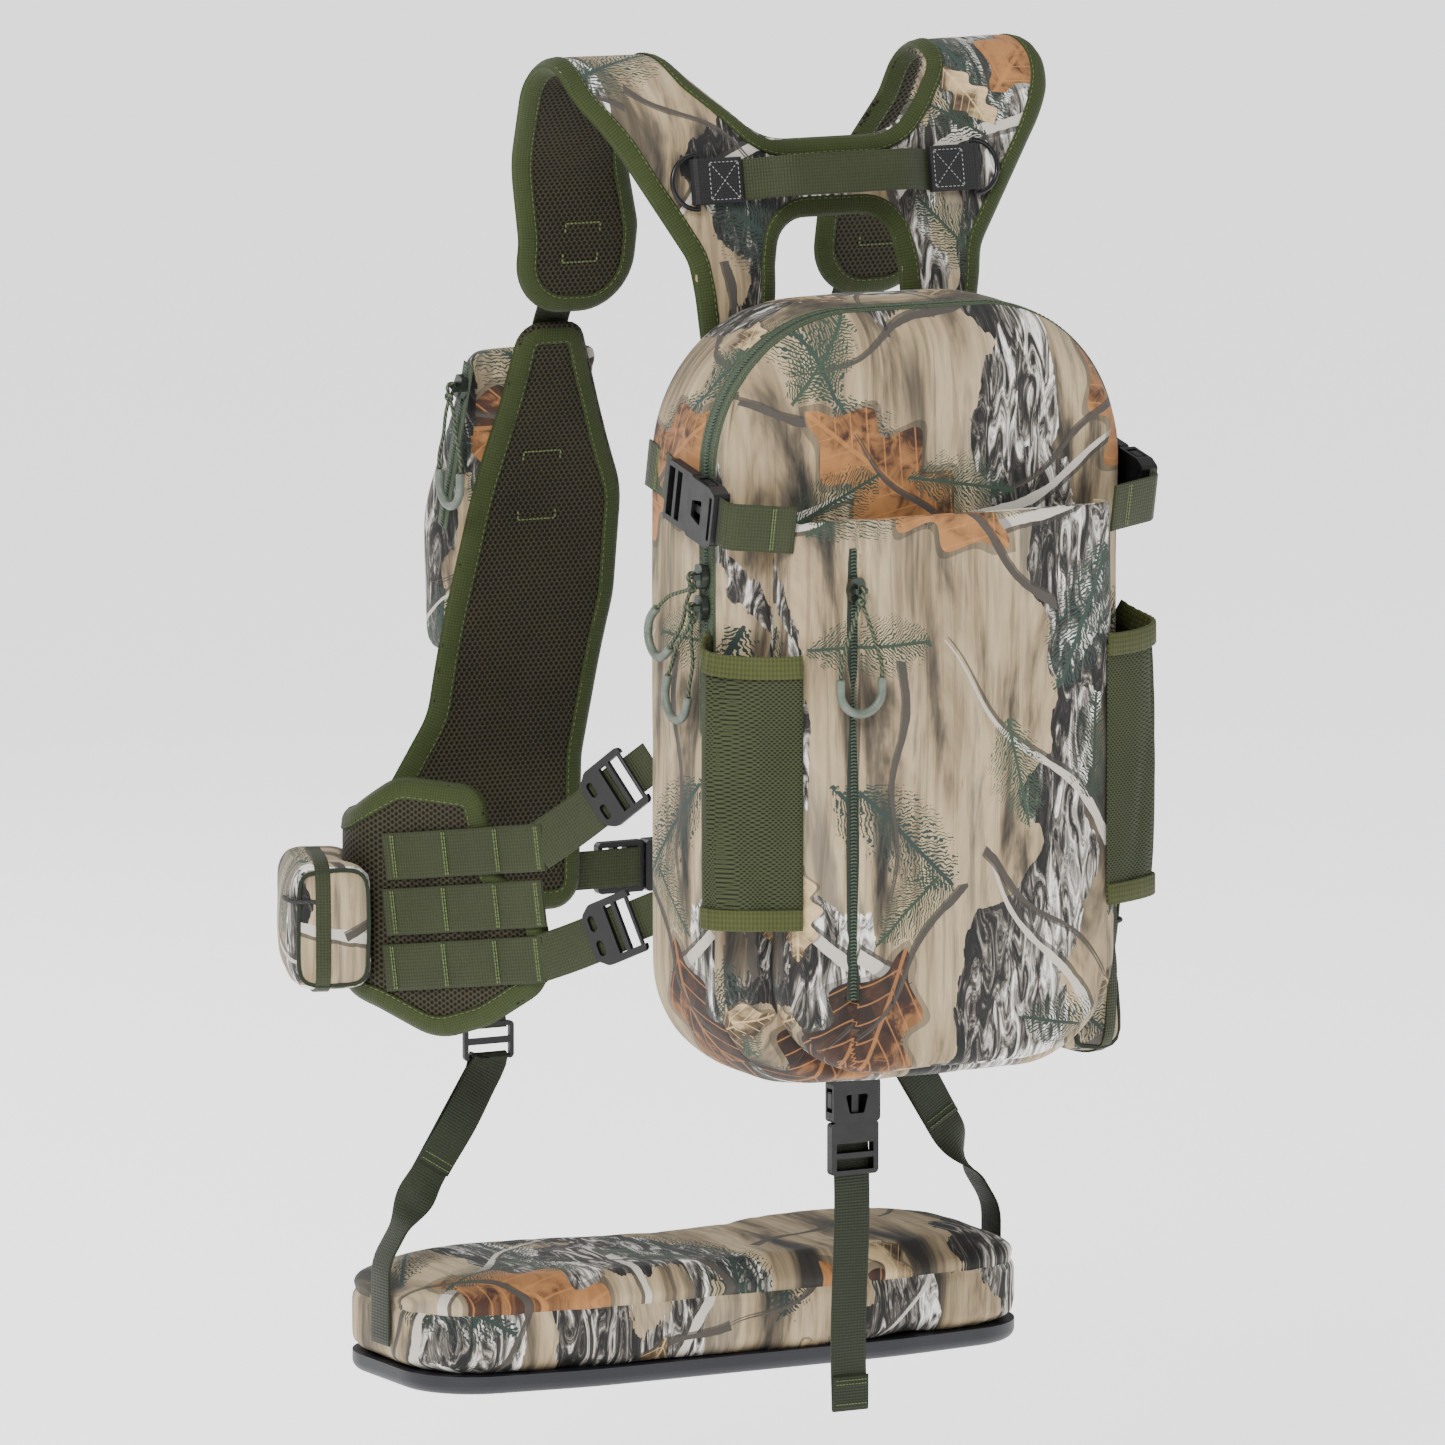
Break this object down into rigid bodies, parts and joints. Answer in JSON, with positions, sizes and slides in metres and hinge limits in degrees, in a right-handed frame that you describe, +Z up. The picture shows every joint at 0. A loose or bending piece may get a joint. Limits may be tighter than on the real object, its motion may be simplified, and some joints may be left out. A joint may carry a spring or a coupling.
{
  "type": "hunting backpack",
  "caption": "Camouflage hunting day pack on a padded yoke with mesh vest panels, webbed hip belt, zip pulls and a hanging foam seat.",
  "frame": {"origin": "middle of the flat back pad face that rests on the wearer's back", "axes": "+X wearer's right, +Y the way the wearer faces, out of the back pad, +Z up"},
  "size_m": [0.5986, 0.4522, 0.8454],
  "materials": {
    "camo_cloth": "brushed polyester printed with a woodland camouflage of bark, twigs and leaves",
    "side_mesh": "fine open grey-green knitted mesh",
    "spacer_mesh": "dark brown three-dimensional spacer mesh over foam, bound in green tape",
    "frame_plastic": "stiff black sheet",
    "zipper_tape": "grey-green woven tape with a nylon coil",
    "webbing": "olive woven nylon webbing with a fine rib",
    "black_tab": "black woven tape",
    "black_plastic": "black moulded acetal, fine satin grain",
    "black_steel": "black coated steel wire",
    "slider_metal": "dark olive coated die-cast zinc",
    "pull_rubber": "grey-green soft rubber tube on olive cord",
    "seat_rubber": "dark navy rubberised cloth"
  },
  "bodies": {
    "pack": {"back_pad": "spacer_mesh", "buckle_plugs": "black_plastic", "buckle_sockets": "black_plastic", "compression_webbing": "webbing", "frame_sheet": "frame_plastic", "front_panel": "camo_cloth", "handle_tabs": "black_tab", "hanger_webbing": "webbing", "haul_handle": "webbing", "hip_bungees": "black_tab", "hip_pouch_left": "camo_cloth", "hip_pouch_right": "camo_cloth", "hip_wing_left": "spacer_mesh", "hip_wing_right": "spacer_mesh", "main_shell": "camo_cloth", "molle_webbing_left": "webbing", "molle_webbing_right": "webbing", "seat_adjusters": "black_plastic", "shoulder_yoke_left": "camo_cloth", "shoulder_yoke_right": "camo_cloth", "side_pocket_left": "side_mesh", "side_pocket_right": "side_mesh", "stash_pocket": "camo_cloth", "vest_panel_left": "spacer_mesh", "vest_panel_right": "spacer_mesh", "vest_pouch_left": "camo_cloth", "vest_pouch_right": "camo_cloth", "waist_webbing": "webbing", "zipper_tapes": "zipper_tape"},
    "seat_hangers": {"seat_straps": "webbing"},
    "seat": {"seat_cushion": "camo_cloth", "seat_base": "seat_rubber"},
    "keeper": {"keeper_webbing": "webbing", "keeper_socket": "black_plastic", "keeper_plug": "black_plastic"},
    "compression_latch_lower_left": {"compression_latch_lower_left": "black_plastic"},
    "compression_latch_lower_right": {"compression_latch_lower_right": "black_plastic"},
    "compression_latch_upper_left": {"compression_latch_upper_left": "black_plastic"},
    "compression_latch_upper_right": {"compression_latch_upper_right": "black_plastic"},
    "d_ring_left": {"d_ring_left": "black_steel"},
    "d_ring_right": {"d_ring_right": "black_steel"},
    "keeper_latch_left": {"keeper_latch_left": "black_plastic"},
    "keeper_latch_right": {"keeper_latch_right": "black_plastic"},
    "ladder_lock_lower_left": {"ladder_lock_lower_left": "black_plastic"},
    "ladder_lock_lower_right": {"ladder_lock_lower_right": "black_plastic"},
    "ladder_lock_upper_left": {"ladder_lock_upper_left": "black_plastic"},
    "ladder_lock_upper_right": {"ladder_lock_upper_right": "black_plastic"},
    "main_lower_pull": {"main_lower_pull": "pull_rubber"},
    "main_lower_slider": {"main_lower_slider": "slider_metal"},
    "main_upper_pull": {"main_upper_pull": "pull_rubber"},
    "main_upper_slider": {"main_upper_slider": "slider_metal"},
    "stash_pull": {"stash_pull": "pull_rubber"},
    "stash_slider": {"stash_slider": "slider_metal"},
    "vest_pull_left": {"vest_pull_left": "pull_rubber"},
    "vest_pull_right": {"vest_pull_right": "pull_rubber"},
    "vest_slider_left": {"vest_slider_left": "slider_metal"},
    "vest_slider_right": {"vest_slider_right": "slider_metal"},
    "waist_latch_lower": {"waist_latch_lower": "black_plastic"},
    "waist_latch_upper": {"waist_latch_upper": "black_plastic"}
  },
  "joints": [
    {"name": "compression_latch_lower_left_squeeze", "type": "hinge", "parent": "pack", "child": "compression_latch_lower_left", "pos_m": [-0.149, -0.08966, 0.11296], "axis": [-1, 0, 0], "range_deg": [0, 9], "stiffness_Nm_per_rad": 0.12},
    {"name": "compression_latch_upper_left_squeeze", "type": "hinge", "parent": "pack", "child": "compression_latch_upper_left", "pos_m": [-0.149, -0.09455, 0.13615], "axis": [1, 0, 0], "range_deg": [0, 9], "stiffness_Nm_per_rad": 0.12},
    {"name": "compression_latch_lower_right_squeeze", "type": "hinge", "parent": "pack", "child": "compression_latch_lower_right", "pos_m": [0.149, -0.08966, 0.11296], "axis": [-1, 0, 0], "range_deg": [0, 9], "stiffness_Nm_per_rad": 0.12},
    {"name": "compression_latch_upper_right_squeeze", "type": "hinge", "parent": "pack", "child": "compression_latch_upper_right", "pos_m": [0.149, -0.09455, 0.13615], "axis": [1, 0, 0], "range_deg": [0, 9], "stiffness_Nm_per_rad": 0.12},
    {"name": "waist_latch_lower_squeeze", "type": "hinge", "parent": "pack", "child": "waist_latch_lower", "pos_m": [-0.00785, 0.2444, -0.16235], "axis": [0, -1, 0], "range_deg": [0, 9], "stiffness_Nm_per_rad": 0.12},
    {"name": "waist_latch_upper_squeeze", "type": "hinge", "parent": "pack", "child": "waist_latch_upper", "pos_m": [-0.00785, 0.2444, -0.14365], "axis": [0, 1, 0], "range_deg": [0, 9], "stiffness_Nm_per_rad": 0.12},
    {"name": "keeper_swing", "type": "hinge", "parent": "pack", "child": "keeper", "pos_m": [0, -0.018, -0.2382], "axis": [1, 0, 0], "range_deg": [-30, 25]},
    {"name": "keeper_latch_left_squeeze", "type": "hinge", "parent": "keeper", "child": "keeper_latch_left", "pos_m": [-0.00935, -0.018, -0.27685], "axis": [0, 1, 0], "range_deg": [0, 9], "stiffness_Nm_per_rad": 0.12},
    {"name": "keeper_latch_right_squeeze", "type": "hinge", "parent": "keeper", "child": "keeper_latch_right", "pos_m": [0.00935, -0.018, -0.27685], "axis": [0, -1, 0], "range_deg": [0, 9], "stiffness_Nm_per_rad": 0.12},
    {"name": "main_upper_slider_travel", "type": "slide", "parent": "pack", "child": "main_upper_slider", "axis": [0, 0, 1], "range_m": [0, 0.012]},
    {"name": "main_upper_pull_swing", "type": "hinge", "parent": "main_upper_slider", "child": "main_upper_pull", "pos_m": [-0.1506, -0.089, 0.08], "axis": [0, 1, 0], "range_deg": [0, 80]},
    {"name": "main_lower_slider_travel", "type": "slide", "parent": "pack", "child": "main_lower_slider", "axis": [0, 0, -1], "range_m": [0, 0.07]},
    {"name": "main_lower_pull_swing", "type": "hinge", "parent": "main_lower_slider", "child": "main_lower_pull", "pos_m": [-0.1506, -0.089, 0.061], "axis": [0, 1, 0], "range_deg": [0, 80]},
    {"name": "stash_slider_travel", "type": "slide", "parent": "pack", "child": "stash_slider", "axis": [0, 0, -1], "range_m": [0, 0.24]},
    {"name": "stash_pull_swing", "type": "hinge", "parent": "stash_slider", "child": "stash_pull", "pos_m": [-0.072, -0.1606, 0.075], "axis": [-1, 0, 0], "range_deg": [0, 80]},
    {"name": "vest_slider_travel_left", "type": "slide", "parent": "pack", "child": "vest_slider_left", "axis": [0, 0.3278, -0.9448], "range_m": [0, 0.085]},
    {"name": "vest_pull_swing_left", "type": "hinge", "parent": "vest_slider_left", "child": "vest_pull_left", "pos_m": [-0.1666, 0.20192, 0.16583], "axis": [0, 0.9448, 0.3278], "range_deg": [0, 80]},
    {"name": "d_ring_turn_left", "type": "hinge", "parent": "pack", "child": "d_ring_left", "pos_m": [-0.097, 0.00579, 0.30971], "axis": [0, 0.1738, 0.9848], "range_deg": [0, 140]},
    {"name": "ladder_lock_upper_tilt_left", "type": "hinge", "parent": "pack", "child": "ladder_lock_upper_left", "pos_m": [-0.14489, 0.00114, -0.05408], "axis": [-0.3143, 0.5259, 0.7904], "range_deg": [0, 30]},
    {"name": "ladder_lock_lower_tilt_left", "type": "hinge", "parent": "pack", "child": "ladder_lock_lower_left", "pos_m": [-0.14387, -0.00057, -0.14441], "axis": [-0.2088, 0.3494, 0.9134], "range_deg": [0, 30]},
    {"name": "vest_slider_travel_right", "type": "slide", "parent": "pack", "child": "vest_slider_right", "axis": [0, 0.3278, -0.9448], "range_m": [0, 0.085]},
    {"name": "vest_pull_swing_right", "type": "hinge", "parent": "vest_slider_right", "child": "vest_pull_right", "pos_m": [0.1666, 0.20192, 0.16583], "axis": [0, -0.9448, -0.3278], "range_deg": [0, 80]},
    {"name": "d_ring_turn_right", "type": "hinge", "parent": "pack", "child": "d_ring_right", "pos_m": [0.097, 0.00579, 0.30971], "axis": [0, -0.1738, -0.9848], "range_deg": [0, 140]},
    {"name": "ladder_lock_upper_tilt_right", "type": "hinge", "parent": "pack", "child": "ladder_lock_upper_right", "pos_m": [0.14489, 0.00114, -0.05408], "axis": [-0.3143, -0.5259, -0.7904], "range_deg": [0, 30]},
    {"name": "ladder_lock_lower_tilt_right", "type": "hinge", "parent": "pack", "child": "ladder_lock_lower_right", "pos_m": [0.14387, -0.00057, -0.14441], "axis": [-0.2088, -0.3494, -0.9134], "range_deg": [0, 30]},
    {"name": "seat_swing", "type": "hinge", "parent": "pack", "child": "seat_hangers", "pos_m": [0, 0.1993, -0.2595], "axis": [1, 0, 0], "range_deg": [-25, 30]},
    {"name": "seat_tilt", "type": "hinge", "parent": "seat_hangers", "child": "seat", "pos_m": [0, 0.1993, -0.424], "axis": [1, 0, 0], "range_deg": [-20, 20]}
  ],
  "couplings": [
    {"joint": "compression_latch_upper_left_squeeze", "follows": "compression_latch_lower_left_squeeze", "ratio": 1},
    {"joint": "compression_latch_upper_right_squeeze", "follows": "compression_latch_lower_right_squeeze", "ratio": 1},
    {"joint": "waist_latch_upper_squeeze", "follows": "waist_latch_lower_squeeze", "ratio": 1},
    {"joint": "keeper_latch_right_squeeze", "follows": "keeper_latch_left_squeeze", "ratio": 1}
  ]
}
